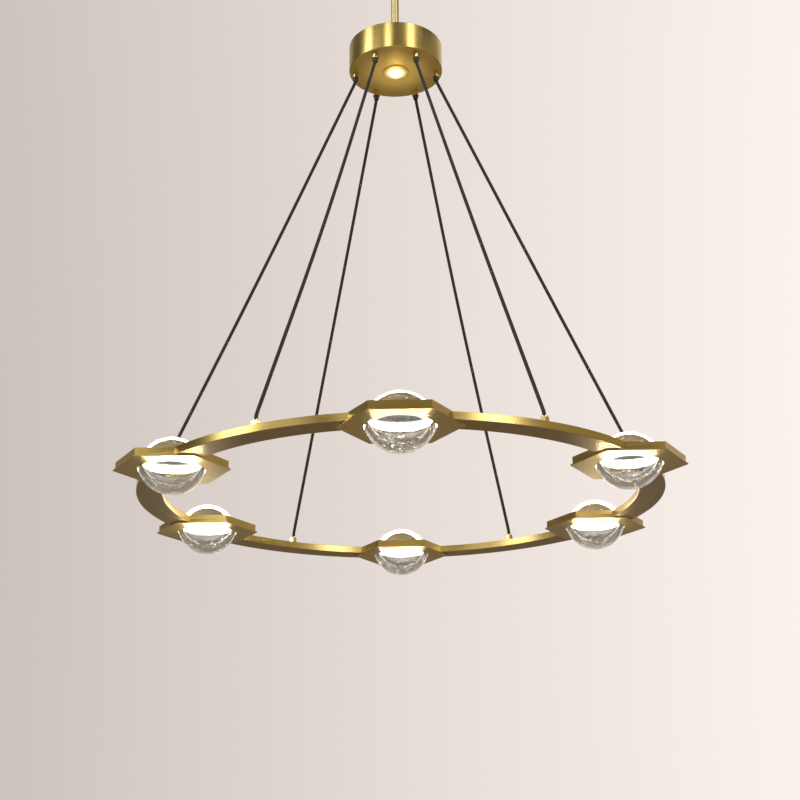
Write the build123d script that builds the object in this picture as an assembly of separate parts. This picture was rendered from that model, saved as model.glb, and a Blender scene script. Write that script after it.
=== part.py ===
"""Ring chandelier: crystal lamp heads on a brass ring, hung by cables from a hub on a swivelling stem.

Millimetres, +Z up. The origin is on the ceiling, in the middle of the ceiling bracket's upper face.
The first lamp head faces -Y, and the others follow anticlockwise as seen from above.
"""
import os
from math import asin, cos, hypot, pi, radians, sin, sqrt

from build123d import *

# Layout
lamp_count = 6
ring_radius = 335.0
cable_drop = 684.0
stem_clear_length = 220.0

# Clearances
thread_clearance = 0.05
running_clearance = 0.05
slip_clearance = 0.2
swivel_side_clearance = 0.3
cable_entry_clearance = 0.3

# Canopy and nipple
canopy_radius = 60.0
canopy_height = 30.0
canopy_wall = 1.2
canopy_edge_radius = 5.0
nipple_radius = 5.0
nipple_wall = 1.5
nipple_engagement = 5.0

# Ceiling bracket
bracket_gap = 8.8
bracket_width = 25.0
bracket_thickness = 2.0
bracket_corner_radius = 6.0
bracket_boss_wall = 4.0
bracket_boss_height = 4.0
bolt_spacing = 80.0
bolt_hole_radius = 2.6

# Swivel: two forked yokes on a cross block
yoke_radius = 11.0
upper_yoke_base = 6.0
lower_yoke_base = 12.0
yoke_reach = 14.0
ear_half_width = 5.0
cross_half_size = 6.2
cross_edge = 1.0
pin_radius = 2.5
pin_recess = 0.7
pin_gap = 0.7

# Stem
stem_radius = 6.0
stem_shoulder = 1.0
stem_thread_wall = 1.2
stem_engagement = 9.0
stem_thread_spare = 1.5
stem_nut_across_flats = 16.0
stem_nut_height = 5.0

# Hub drum
hub_radius = 71.5
hub_height = 42.4
hub_wall = 2.0
hub_top_thickness = 2.5
hub_base_thickness = 3.0
hub_edge_radius = 0.8
hub_post_count = 3
hub_post_radius = 4.0
hub_post_gap = 7.5
hub_screw_radius = 2.0
hub_screw_depth = 12.0
hub_screw_head_radius = 3.6
hub_screw_head_height = 2.4

# Spotlight in the hub's underside
spot_bore_radius = 14.5
spot_tube_wall = 2.5
spot_flange_overhang = 3.5
spot_flange_thickness = 1.5
spot_lip_width = 2.5
spot_lip_thickness = 0.8
spot_lens_height = 7.5
spot_lens_rim_height = 2.5
spot_lens_top_radius = 6.0
spot_dome_height = 6.0
spot_board_gap = 2.5
spot_board_thickness = 1.5
heatsink_plug_height = 3.7
heatsink_wall = 4.0
heatsink_cap_thickness = 6.0
heatsink_fin_count = 7
heatsink_fin_thickness = 1.6
heatsink_top_gap = 3.0

# Power supply in the hub
driver_length = 44.0
driver_width = 24.0
driver_height = 22.0
driver_edge_radius = 1.5
driver_gap = 5.0

# Cables
cable_radius = 2.5
cable_end_run = 12.0
cable_corner_share = 0.45
cable_corner_gap = 0.2

# Cord grips under the hub
grip_wall_gap = 2.3
grip_wall = 0.7
grip_shoulder = 0.6
grip_shaft_length = 8.6
grip_flange_overhang = 1.4
grip_flange_thickness = 1.2
grip_thread_spare = 1.5
grip_nut_across_flats = 11.0
grip_nut_height = 3.0
collar_bore_clearance = 0.7
collar_tip_wall = 0.4
collar_taper = 0.8
collar_length = 6.0

# Anchors on the ring
anchor_wall = 2.2
anchor_height = 10.0
anchor_lip_wall = 1.4
anchor_lip_height = 2.0
anchor_thread_radius = 3.0
anchor_thread_spare = 1.0
anchor_nut_across_flats = 9.0
anchor_nut_height = 2.8
anchor_seat_height = 3.0
anchor_wire_radius = 1.5

# Lamp heads
band_side = 72.0
band_height = 9.8
band_wall = 1.5
plate_overhang = 3.0
plate_thickness = 1.7
wire_hole_radius = 2.5
plate_post_radius = 3.0
plate_post_floor = 2.3
plate_screw_radius = 1.5
plate_screw_head_radius = 2.8
plate_screw_head_height = 1.6

# Crystals and light rings
dome_radius = 42.5
dome_height = 31.0
dome_bottom_thickness = 9.7
dome_mouth_wall = 6.5
dome_flange_width = 3.5
dome_flange_thickness = 1.5
light_ring_wall = 2.5

# Arc bars of the ring
bar_width = 35.0
bar_wall = 1.5

# Heights worked out from the sizes above
canopy_floor_z = -canopy_height
upper_yoke_floor_z = canopy_floor_z - upper_yoke_base
pivot_z = upper_yoke_floor_z - yoke_reach
lower_yoke_top_z = pivot_z - yoke_reach
lower_yoke_floor_z = lower_yoke_top_z - lower_yoke_base
hub_top_z = lower_yoke_floor_z - stem_clear_length
hub_ceiling_z = hub_top_z - hub_top_thickness
stem_foot_z = hub_ceiling_z - stem_nut_height - stem_thread_spare
hub_floor_z = hub_top_z - hub_height
base_top_z = hub_floor_z + hub_base_thickness
spot_flange_z = hub_floor_z - spot_flange_thickness
spot_seat_z = spot_flange_z + spot_lip_thickness
spot_board_z = spot_seat_z + spot_lens_height
spot_tube_top_z = spot_board_z + spot_board_thickness + heatsink_plug_height
grip_flange_top_z = hub_floor_z - grip_shaft_length
grip_floor_z = grip_flange_top_z - grip_flange_thickness
collar_floor_z = grip_floor_z - collar_length
plate_floor_z = hub_floor_z - cable_drop
plate_top_z = plate_floor_z + plate_thickness
band_top_z = plate_top_z + band_height
band_ceiling_z = band_top_z - band_wall
anchor_seat_z = band_top_z + anchor_seat_height

# Widths that neighbouring pieces share
lamp_step = 360.0 / lamp_count
nipple_bore_radius = nipple_radius - nipple_wall
bracket_length = 2 * (canopy_radius - canopy_wall - bracket_gap)
ear_inner = cross_half_size + swivel_side_clearance
stem_thread_radius = stem_radius - stem_shoulder
stem_bore_radius = stem_thread_radius - stem_thread_wall
hub_inner_radius = hub_radius - hub_wall
hub_post_circle = hub_inner_radius - hub_post_radius - hub_post_gap
spot_tube_radius = spot_bore_radius + spot_tube_wall
spot_board_radius = spot_bore_radius - spot_board_gap
spot_window_radius = spot_bore_radius - spot_lip_width
heatsink_radius = spot_tube_radius + heatsink_wall
grip_circle = hub_inner_radius - grip_nut_across_flats / 2 - grip_wall_gap
grip_bore_radius = cable_radius + slip_clearance
grip_thread_radius = grip_bore_radius + grip_wall
grip_shaft_radius = grip_thread_radius + grip_shoulder
collar_bore_radius = cable_radius + collar_bore_clearance
collar_tip_radius = collar_bore_radius + collar_tip_wall
anchor_bore_radius = cable_radius + cable_entry_clearance
plate_side = band_side + plate_overhang
band_inner_side = band_side - 2 * band_wall / sqrt(3)
bar_circle = hypot(ring_radius, band_side)
seat_radius = dome_radius + slip_clearance
dome_flange_radius = dome_radius + dome_flange_width
plate_post_circle = (dome_flange_radius + band_inner_side) / 2


def ring_place(angle):
    """Turn about the chandelier's axis, from the -Y side, anticlockwise from above."""
    return Rot(0, 0, angle)


def lamp_places():
    """Places of the lamp heads."""
    for index in range(lamp_count):
        yield ring_place(index * lamp_step) * Pos(0, -ring_radius, 0)


def cable_places(radius):
    """Places halfway between the lamp heads, on a circle of the given radius."""
    for index in range(lamp_count):
        yield ring_place((index + 0.5) * lamp_step) * Pos(0, -radius, 0)


def hub_post_places():
    """Places of the posts that tie the hub's underside to its top."""
    for index in range(hub_post_count):
        yield ring_place(index * 360.0 / hub_post_count) * Pos(0, -hub_post_circle, 0)


def plate_post_places():
    """Places of the posts in a lamp head, at the four corners that no bar meets."""
    for angle in (60, 120, 240, 300):
        yield Rot(0, 0, angle) * Pos(plate_post_circle, 0, 0)


def rod(radius, low, high):
    """Upright cylinder between two heights."""
    return Pos(0, 0, (low + high) / 2) * Cylinder(radius, high - low)


def tube(outer, inner, low, high):
    """Upright tube between two heights."""
    return rod(outer, low, high) - rod(inner, low, high)


def beam(half_x, half_y, low, high):
    """Upright block centred on the axis."""
    return Pos(0, 0, (low + high) / 2) * Box(2 * half_x, 2 * half_y, high - low)


def hex_prism(corner_radius, low, high):
    """Upright hexagonal prism with two corners on the X axis."""
    return extrude(Pos(0, 0, low) * RegularPolygon(corner_radius, 6), high - low)


def hex_nut(across_flats, bore, low, high):
    """Hexagonal nut between two heights."""
    return hex_prism(across_flats / sqrt(3), low, high) - rod(bore, low, high)


def pan_screw(shank, depth, head, head_height, seat):
    """Screw standing head up on a seat height, with a domed edge on its head."""
    cap = rod(head, seat, seat + head_height)
    cap = fillet(cap.edges().sort_by(Axis.Z)[-1], head_height / 2)
    return cap + rod(shank, seat - depth, seat)


def ceiling_bracket():
    """Flat bar against the ceiling, tapped in the middle for the nipple."""
    boss_floor_z = -bracket_thickness - bracket_boss_height
    bar = beam(bracket_length / 2, bracket_width / 2, -bracket_thickness, 0)
    bar = fillet(bar.edges().filter_by(Axis.Z), bracket_corner_radius)
    bar += rod(nipple_radius + bracket_boss_wall, boss_floor_z, -bracket_thickness)
    bar -= rod(nipple_radius + thread_clearance, boss_floor_z, 0)
    for side in (-1, 1):
        bar -= Pos(side * bolt_spacing / 2, 0, 0) * rod(bolt_hole_radius, -bracket_thickness, 0)
    return bar


def canopy():
    """Cup that covers the bracket, with a rounded lower edge."""
    cup = rod(canopy_radius, canopy_floor_z, 0)
    cup = fillet(cup.edges().sort_by(Axis.Z)[0], canopy_edge_radius)
    hollow = rod(canopy_radius - canopy_wall, canopy_floor_z + canopy_wall, 0)
    hollow = fillet(hollow.edges().sort_by(Axis.Z)[0], canopy_edge_radius - canopy_wall)
    return cup - hollow - rod(nipple_radius + slip_clearance, canopy_floor_z, 0)


def canopy_nipple():
    """Threaded tube from the bracket through the canopy into the swivel."""
    return tube(nipple_radius, nipple_bore_radius, canopy_floor_z - nipple_engagement, 0)


def yoke(base):
    """Forked round bar: base on top, two ears below, pin axis along X, pivot at the origin."""
    ears = rod(yoke_radius, 0, yoke_reach) & beam(yoke_radius, ear_half_width, 0, yoke_reach)
    tip = Rot(0, 90, 0) * Cylinder(ear_half_width, 2 * yoke_radius)
    ears += tip & rod(yoke_radius, -ear_half_width, ear_half_width)
    ears -= beam(ear_inner, yoke_radius, -yoke_radius, yoke_reach)
    body = ears + rod(yoke_radius, yoke_reach, yoke_reach + base)
    return body - Rot(0, 90, 0) * Cylinder(pin_radius + running_clearance, 2 * yoke_radius)


def swivel_upper_yoke():
    """Yoke screwed on the nipple, which holds the canopy up."""
    socket_floor_z = canopy_floor_z - nipple_engagement
    body = Pos(0, 0, pivot_z) * yoke(upper_yoke_base)
    body -= rod(nipple_radius + thread_clearance, socket_floor_z, canopy_floor_z)
    return body - rod(nipple_bore_radius, upper_yoke_floor_z, socket_floor_z)


def swivel_lower_yoke():
    """Yoke turned over and a quarter round, with a threaded socket for the stem."""
    socket_top_z = lower_yoke_floor_z + stem_engagement
    body = Pos(0, 0, pivot_z) * Rot(180, 0, 0) * Rot(0, 0, 90) * yoke(lower_yoke_base)
    body -= rod(stem_radius + thread_clearance, lower_yoke_floor_z, socket_top_z)
    return body - rod(stem_bore_radius, socket_top_z, lower_yoke_top_z)


def swivel_cross():
    """Block between the two yokes, bored for the pins."""
    bore = pin_radius + thread_clearance
    block = Box(2 * cross_half_size, 2 * cross_half_size, 2 * cross_half_size)
    block = chamfer(block.edges(), cross_edge)
    block -= Rot(0, 90, 0) * Cylinder(bore, 2 * cross_half_size)
    block -= Rot(90, 0, 0) * Cylinder(bore, 2 * cross_half_size)
    return Pos(0, 0, pivot_z) * block


def swivel_pins():
    """One long pin along X and two short ones along Y."""
    outer = yoke_radius - pin_recess
    inner = pin_radius + pin_gap
    pins = [Rot(0, 90, 0) * Cylinder(pin_radius, 2 * outer)]
    for side in (-1, 1):
        place = Pos(0, side * (outer + inner) / 2, 0) * Rot(90, 0, 0)
        pins.append(place * Cylinder(pin_radius, outer - inner))
    return Compound(children=[Pos(0, 0, pivot_z) * pin for pin in pins])


def stem():
    """Round tube, with a thinner thread at its foot that goes through the hub's top."""
    top_z = lower_yoke_floor_z + stem_engagement
    body = rod(stem_radius, hub_top_z, top_z) + rod(stem_thread_radius, stem_foot_z, hub_top_z)
    return body - rod(stem_bore_radius, stem_foot_z, top_z)


def stem_nut():
    """Nut under the hub's top."""
    bore = stem_thread_radius + thread_clearance
    return hex_nut(stem_nut_across_flats, bore, hub_ceiling_z - stem_nut_height, hub_ceiling_z)


def hub_shell():
    """Drum with a closed top and an open underside."""
    drum = rod(hub_radius, hub_floor_z, hub_top_z)
    drum = fillet(drum.edges().filter_by(GeomType.CIRCLE), hub_edge_radius)
    drum -= rod(hub_inner_radius, hub_floor_z, hub_ceiling_z)
    drum -= rod(stem_thread_radius + slip_clearance, hub_ceiling_z, hub_top_z)
    for place in hub_post_places():
        drum -= place * rod(hub_screw_radius + slip_clearance, hub_ceiling_z, hub_top_z)
    return drum


def hub_base():
    """Underside disc with posts up to the drum's top, and holes for the grips and the spotlight."""
    bore_floor_z = hub_ceiling_z - hub_screw_depth
    disc = rod(hub_inner_radius - running_clearance, hub_floor_z, base_top_z)
    for place in hub_post_places():
        disc += place * rod(hub_post_radius, base_top_z, hub_ceiling_z)
        disc -= place * rod(hub_screw_radius + thread_clearance, bore_floor_z, hub_ceiling_z)
    for place in cable_places(grip_circle):
        disc -= place * rod(grip_thread_radius + slip_clearance, hub_floor_z, base_top_z)
    return disc - rod(spot_tube_radius + slip_clearance, hub_floor_z, base_top_z)


def hub_screws():
    """Screws from the drum's top into the posts."""
    depth = hub_top_thickness + hub_screw_depth - slip_clearance
    screw = pan_screw(hub_screw_radius, depth, hub_screw_head_radius, hub_screw_head_height, hub_top_z)
    return Compound(children=[place * screw for place in hub_post_places()])


def led_driver():
    """Power supply box that stands on the hub's underside disc, beside the spotlight."""
    offset = heatsink_radius + driver_gap + driver_width / 2
    box = Box(driver_width, driver_length, driver_height)
    box = fillet(box.edges().filter_by(Axis.Z), driver_edge_radius)
    return Pos(offset, 0, base_top_z + driver_height / 2) * box


def spot_bezel():
    """Flange under the hub, with a tube that holds the lens."""
    body = rod(spot_tube_radius + spot_flange_overhang, spot_flange_z, hub_floor_z)
    body = fillet(body.edges().sort_by(Axis.Z)[0], spot_flange_thickness / 2)
    body += rod(spot_tube_radius, hub_floor_z, spot_tube_top_z)
    body -= rod(spot_bore_radius, spot_seat_z, spot_tube_top_z)
    return body - rod(spot_window_radius, spot_flange_z, spot_seat_z)


def spot_lens():
    """Lens on the bezel's lip, domed below its window and narrow above, at the light source."""
    rim_radius = spot_bore_radius - slip_clearance
    dome_edge = spot_window_radius - slip_clearance
    sphere_radius = (dome_edge ** 2 + spot_dome_height ** 2) / (2 * spot_dome_height)
    centre_z = spot_flange_z - spot_dome_height + sphere_radius
    half_slope = asin(dome_edge / sphere_radius) / 2
    dome_middle = (sphere_radius * sin(half_slope), 0, centre_z - sphere_radius * cos(half_slope))
    outline = [
        ThreePointArc((0, 0, spot_flange_z - spot_dome_height), dome_middle, (dome_edge, 0, spot_flange_z)),
        Polyline(
            (dome_edge, 0, spot_flange_z),
            (dome_edge, 0, spot_seat_z),
            (rim_radius, 0, spot_seat_z),
            (rim_radius, 0, spot_seat_z + spot_lens_rim_height),
            (spot_lens_top_radius, 0, spot_board_z),
            (0, 0, spot_board_z),
            (0, 0, spot_flange_z - spot_dome_height),
        ),
    ]
    return revolve(make_face(outline), Axis.Z)


def spot_led():
    """Light source board on top of the lens."""
    return rod(spot_board_radius, spot_board_z, spot_board_z + spot_board_thickness)


def spot_heatsink():
    """Cap screwed on the bezel's tube, which clamps the hub's underside, with upright fins."""
    cap_top_z = spot_tube_top_z + heatsink_cap_thickness
    fin_top_z = stem_foot_z - heatsink_top_gap
    body = rod(heatsink_radius, base_top_z, cap_top_z)
    body -= rod(spot_tube_radius + thread_clearance, base_top_z, spot_tube_top_z)
    body += rod(spot_board_radius, spot_board_z + spot_board_thickness, spot_tube_top_z)
    pitch = 2 * heatsink_radius / heatsink_fin_count
    for index in range(heatsink_fin_count):
        offset = (index - (heatsink_fin_count - 1) / 2) * pitch
        fin = beam(heatsink_fin_thickness / 2, heatsink_radius, cap_top_z, fin_top_z)
        body += Pos(offset, 0, 0) * fin & rod(heatsink_radius, cap_top_z, fin_top_z)
    return body


def hub_cord_grips():
    """Brass grips: thread through the hub's underside, shaft and thin flange below it."""
    thread_top_z = base_top_z + grip_nut_height + grip_thread_spare
    grip = rod(grip_shaft_radius, grip_flange_top_z, hub_floor_z)
    grip += rod(grip_thread_radius, hub_floor_z, thread_top_z)
    grip += rod(grip_shaft_radius + grip_flange_overhang, grip_floor_z, grip_flange_top_z)
    grip -= rod(grip_bore_radius, grip_floor_z, thread_top_z)
    return Compound(children=[place * grip for place in cable_places(grip_circle)])


def hub_grip_nuts():
    """Lock nuts on the grips, inside the hub."""
    bore = grip_thread_radius + thread_clearance
    nut = hex_nut(grip_nut_across_flats, bore, base_top_z, base_top_z + grip_nut_height)
    return Compound(children=[place * nut for place in cable_places(grip_circle)])


def cord_collars():
    """Tapered collars where the cables leave the grips."""
    cone = Cone(collar_tip_radius, collar_tip_radius + collar_taper, collar_length)
    collar = Pos(0, 0, (collar_floor_z + grip_floor_z) / 2) * cone
    collar -= rod(collar_bore_radius, collar_floor_z, grip_floor_z)
    return Compound(children=[place * collar for place in cable_places(grip_circle)])


def cable():
    """Taut cable on the -Y side: short upright ends in the grip and the anchor, one long run."""
    corner_z = collar_floor_z - cable_corner_gap
    end_z = anchor_seat_z + cable_entry_clearance
    points = [
        (0, -grip_circle, corner_z + cable_end_run),
        (0, -grip_circle, corner_z),
        (0, -bar_circle, end_z + cable_end_run),
        (0, -bar_circle, end_z),
    ]
    out = bar_circle - grip_circle
    down = corner_z - end_z - cable_end_run
    half_turn_tangent = (hypot(out, down) - down) / out
    corner_radius = cable_corner_share * cable_end_run / half_turn_tangent
    path = FilletPolyline(*points, radius=[corner_radius, corner_radius])
    section = Plane(origin=path @ 0, z_dir=path % 0) * Circle(cable_radius)
    solid = sweep(section, path=path)
    section_volume = path.length * pi * cable_radius ** 2
    print(f"cable length {path.length:.1f}, corner radii {corner_radius:.1f}")
    print(f"cable volume over section times length {solid.volume / section_volume:.4f}")
    return solid


def arc_bar():
    """Hollow flat bar between two lamp heads, centred on the corners of their bands and notched to them."""
    middle_z = (plate_top_z + band_top_z) / 2
    middle = Plane(origin=(0, -bar_circle, middle_z), x_dir=(0, 1, 0), z_dir=(1, 0, 0))
    outside = middle * Rectangle(bar_width, band_height)
    inside = middle * Rectangle(bar_width - 2 * bar_wall, band_height - 2 * bar_wall)
    bar = revolve(outside - inside, Axis.Z, revolution_arc=lamp_step)
    for angle in (0, lamp_step):
        head = Pos(0, -ring_radius, 0) * hex_prism(band_side, plate_top_z, band_top_z)
        bar -= ring_place(angle) * head
    anchor_place = ring_place(lamp_step / 2) * Pos(0, -bar_circle, 0)
    return bar - anchor_place * rod(anchor_thread_radius + slip_clearance, middle_z, band_top_z)


def ring_cord_grips():
    """Hexagonal anchors on the bars, with a socket for the cable's end."""
    head_top_z = band_top_z + anchor_height
    lip_top_z = head_top_z + anchor_lip_height
    thread_floor_z = band_top_z - bar_wall - anchor_nut_height - anchor_thread_spare
    across_flats = 2 * (anchor_bore_radius + anchor_wall)
    anchor = hex_prism(across_flats / sqrt(3), band_top_z, head_top_z)
    anchor += rod(anchor_bore_radius + anchor_lip_wall, head_top_z, lip_top_z)
    anchor += rod(anchor_thread_radius, thread_floor_z, band_top_z)
    anchor -= rod(anchor_bore_radius, anchor_seat_z, lip_top_z)
    anchor -= rod(anchor_wire_radius, thread_floor_z, anchor_seat_z)
    return Compound(children=[place * anchor for place in cable_places(bar_circle)])


def ring_grip_nuts():
    """Lock nuts on the anchors, inside the bars."""
    top_z = band_top_z - bar_wall
    bore = anchor_thread_radius + thread_clearance
    nut = hex_nut(anchor_nut_across_flats, bore, top_z - anchor_nut_height, top_z)
    return Compound(children=[place * nut for place in cable_places(bar_circle)])


def hex_frame():
    """Hexagonal band with its top, open below, with wire holes where the bars meet it."""
    frame = hex_prism(band_side, plate_top_z, band_top_z)
    frame -= hex_prism(band_inner_side, plate_top_z, band_ceiling_z)
    frame -= rod(seat_radius, band_ceiling_z, band_top_z)
    wire_way = Rot(0, 90, 0) * Cylinder(wire_hole_radius, 2 * band_side)
    frame -= Pos(0, 0, (plate_top_z + band_ceiling_z) / 2) * wire_way
    for place in plate_post_places():
        frame -= place * rod(plate_screw_radius + slip_clearance, band_ceiling_z, band_top_z)
    return frame


def hex_plate():
    """Thin lower plate that overhangs the band, with posts for the screws."""
    plate = hex_prism(plate_side, plate_floor_z, plate_top_z)
    plate -= rod(seat_radius, plate_floor_z, plate_top_z)
    for place in plate_post_places():
        plate += place * rod(plate_post_radius, plate_top_z, band_ceiling_z)
        bore = rod(plate_screw_radius + thread_clearance, plate_top_z + plate_post_floor, band_ceiling_z)
        plate -= place * bore
    return plate


def plate_screws():
    """Screws from each band's top into the plate's posts."""
    depth = band_height - plate_post_floor - slip_clearance
    screw = pan_screw(
        plate_screw_radius, depth, plate_screw_head_radius, plate_screw_head_height, band_top_z
    )
    return Compound(
        children=[lamp * post * screw for lamp in lamp_places() for post in plate_post_places()]
    )


def crystal(neck):
    """Solid dome below Z = 0, with a neck through its seat and a flange above it."""
    sphere_radius = (dome_radius ** 2 + dome_height ** 2) / (2 * dome_height)
    centre_z = sphere_radius - dome_height
    flange_z = neck + dome_flange_thickness
    slope = radians(45)
    middle = (sphere_radius * sin(slope), 0, centre_z - sphere_radius * cos(slope))
    outline = [
        ThreePointArc((0, 0, -dome_height), middle, (dome_radius, 0, 0)),
        Polyline(
            (dome_radius, 0, 0),
            (dome_radius, 0, neck),
            (dome_flange_radius, 0, neck),
            (dome_flange_radius, 0, flange_z),
            (0, 0, flange_z),
            (0, 0, -dome_height),
        ),
    ]
    return revolve(make_face(outline), Axis.Z)


def crystal_lower():
    """Dome under the plate: a thick bowl, with its hollow facing up to the light ring."""
    flange_z = plate_thickness + dome_flange_thickness
    hollow_depth = flange_z + dome_height - dome_bottom_thickness
    mouth_radius = dome_radius - dome_mouth_wall
    hollow_radius = (mouth_radius ** 2 + hollow_depth ** 2) / (2 * hollow_depth)
    hollow = Pos(0, 0, flange_z - hollow_depth + hollow_radius) * Sphere(hollow_radius)
    return Pos(0, 0, plate_floor_z) * (crystal(plate_thickness) - hollow)


def crystal_upper():
    """Dome above the band, turned over and solid."""
    return Pos(0, 0, band_top_z) * Rot(180, 0, 0) * crystal(band_wall)


def led_rings():
    """Light rings clamped between the flanges of the two domes."""
    low_z = plate_top_z + dome_flange_thickness
    high_z = band_ceiling_z - dome_flange_thickness
    ring = tube(dome_flange_radius, dome_flange_radius - light_ring_wall, low_z, high_z)
    return Compound(children=[place * ring for place in lamp_places()])


def export(name, solid):
    """Write one node's solid, or its group of separate solids."""
    solid.label = name
    export_step(solid, f"parts/{name}.step")


def main():
    os.makedirs("parts", exist_ok=True)
    single_pieces = (
        ceiling_bracket,
        canopy,
        canopy_nipple,
        swivel_upper_yoke,
        swivel_cross,
        swivel_pins,
        swivel_lower_yoke,
        stem,
        stem_nut,
        hub_shell,
        hub_base,
        hub_screws,
        led_driver,
        spot_bezel,
        spot_lens,
        spot_led,
        spot_heatsink,
        hub_cord_grips,
        hub_grip_nuts,
        cord_collars,
        ring_cord_grips,
        ring_grip_nuts,
        plate_screws,
        led_rings,
    )
    for make in single_pieces:
        export(make.__name__, make())
    for make in (hex_frame, hex_plate, crystal_upper, crystal_lower):
        solid = make()
        for number, place in enumerate(lamp_places(), start=1):
            export(f"{make.__name__}_{number}", place * solid)
    bar = arc_bar()
    front_cable = cable()
    for index in range(lamp_count):
        export(f"arc_bar_{index + 1}", ring_place(index * lamp_step) * bar)
        export(f"cable_{index + 1}", ring_place((index + 0.5) * lamp_step) * front_cable)


main()
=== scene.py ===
"""Ring chandelier: brushed brass, bubbled crystals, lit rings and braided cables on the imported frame.

Metres, in the part's own frame: +Z up, origin on the ceiling, first lamp head on the -Y side.
"""
import math

import bmesh
import bpy
from mathutils import Matrix, Vector, noise


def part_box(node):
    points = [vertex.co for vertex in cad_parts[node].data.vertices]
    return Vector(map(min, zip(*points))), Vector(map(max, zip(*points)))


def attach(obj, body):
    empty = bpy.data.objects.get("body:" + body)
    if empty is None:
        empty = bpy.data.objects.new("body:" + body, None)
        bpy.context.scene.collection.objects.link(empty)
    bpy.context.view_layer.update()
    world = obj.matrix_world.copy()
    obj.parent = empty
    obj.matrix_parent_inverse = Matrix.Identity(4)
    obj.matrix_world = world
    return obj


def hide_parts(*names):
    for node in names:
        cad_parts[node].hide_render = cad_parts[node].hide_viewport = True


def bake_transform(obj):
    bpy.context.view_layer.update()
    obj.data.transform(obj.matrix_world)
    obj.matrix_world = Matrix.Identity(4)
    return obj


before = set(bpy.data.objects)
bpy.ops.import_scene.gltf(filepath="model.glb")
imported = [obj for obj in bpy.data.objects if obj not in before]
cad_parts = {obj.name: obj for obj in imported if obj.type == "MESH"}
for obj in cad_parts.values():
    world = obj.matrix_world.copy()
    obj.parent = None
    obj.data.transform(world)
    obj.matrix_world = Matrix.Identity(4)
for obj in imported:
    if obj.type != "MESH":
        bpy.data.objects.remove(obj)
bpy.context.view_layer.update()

# Layout: six lamp heads, at places read from the frame
LAMP_COUNT = 6
LAMP_STEP = math.radians(360 / LAMP_COUNT)
PLATE_LOW, PLATE_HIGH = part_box("hex_plate_1")
BAND_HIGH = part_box("hex_frame_1")[1]
DOME_LOW, DOME_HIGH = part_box("crystal_lower_1")
LAMP_CIRCLE = -(PLATE_LOW.y + PLATE_HIGH.y) / 2
PLATE_FLOOR = PLATE_LOW.z
BAND_TOP = BAND_HIGH.z

# Crystals: a thick bowl below each lamp head, a solid dome above it
DOME_RADIUS = 0.0425
DOME_HEIGHT = PLATE_FLOOR - DOME_LOW.z
FLANGE_RADIUS = (DOME_HIGH.x - DOME_LOW.x) / 2
FLANGE_THICKNESS = 0.0015
NECK_LOWER = 0.0017
NECK_UPPER = 0.0015
NECK_LIT = 0.0008
HOLLOW_DEPTH = 0.0245
HOLLOW_RADIUS = 0.036
BOND_RADIUS = 0.040
DOME_SEGMENTS = 120
DOME_ROWS = 32
DOME_SHARP_ANGLE = math.radians(24)

# Ripple of the hollows: it starts below the rim, fades in, and has a finer part
RIPPLE_DEPTH = 0.00019
RIPPLE_SIZE = 0.0045
RIPPLE_START = 0.0105
RIPPLE_FADE = 0.006
FINE_RIPPLE_SHARE = 0.6
FINE_RIPPLE_SCALE = 2.3

# Bubbles: how far below the outer face they reach at the dome's edge, and how much further at its pole
BUBBLE_DENSITY = 42000.0
BUBBLE_SIZES = (0.00015, 0.0009)
BUBBLE_DEPTHS = {"lower": (0.0025, 0.006), "upper": (0.004, 0.014)}
BUBBLE_FREE_HEIGHT = 0.004

# Painted glow: thin glowing lips on the bands, round the feet of the upper domes: radius and height above the
# band
LIP_SECTION = (
    (0.0427, -0.0002),
    (0.0465, -0.0002),
    (0.0465, 0.0003),
    (0.0462, 0.0006),
    (0.0430, 0.0006),
    (0.0427, 0.0003),
)

# Eased edges of the brass
EASED_WIDTH = 0.00035
EASED_ANGLE = math.radians(35)
FLAT_ANGLE = math.radians(0.5)
BRASS_SHARP_ANGLE = math.radians(15)
MERGE_DISTANCE = 1e-6

# Cables: the route on the -Y side, from the cord grip to the anchor, and how far each one sags
CABLE_ROUTE = (
    (0.0, -0.0617, -0.3424),
    (0.0, -0.0617, -0.3544),
    (0.0, -0.34265, -0.9956),
    (0.0, -0.34265, -1.0076),
)
CABLE_RADIUS = 0.0025
CABLE_SAGS = (0.0015, 0.0005, 0.005, 0.0005, 0.0015, 0.004)

# Braid of the cables' sleeves
BRAID_STRANDS = 8
BRAID_PITCH = 0.017
BRAID_DEPTH = 0.0003
BRAID_STEP = 0.0007
BRAID_SIDES = 32

# Brass: each finish has its roughness, anisotropy, scale of the lines and their bump
BRUSHED = (0.3, 0.6, 420.0, 0.06)
TURNED = (0.2, 0.2, 900.0, 0.03)
DRAWN = (0.42, 0.3, 420.0, 0.04)
SATIN = (0.52, 0.0, 420.0, 0.03)
BRASS_TONES = ((0.53, 0.385, 0.125), (0.60, 0.455, 0.165))
TURNED_TONES = ((0.66, 0.51, 0.23), (0.74, 0.59, 0.29))
STEM_TONES = ((0.60, 0.49, 0.25), (0.68, 0.57, 0.31))
SATIN_TONES = ((0.48, 0.34, 0.10), (0.54, 0.39, 0.13))

# Painted shade on undersides: the dark tone that downward faces are painted towards, how far, and how steep a
# face still counts as level
PAINTED_SHADE_TONE = (0.28, 0.185, 0.055)
PLATE_PAINTED_SHADE = 0.4
BAR_PAINTED_SHADE = 1.0
LEVEL_SHARE = 0.7

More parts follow.
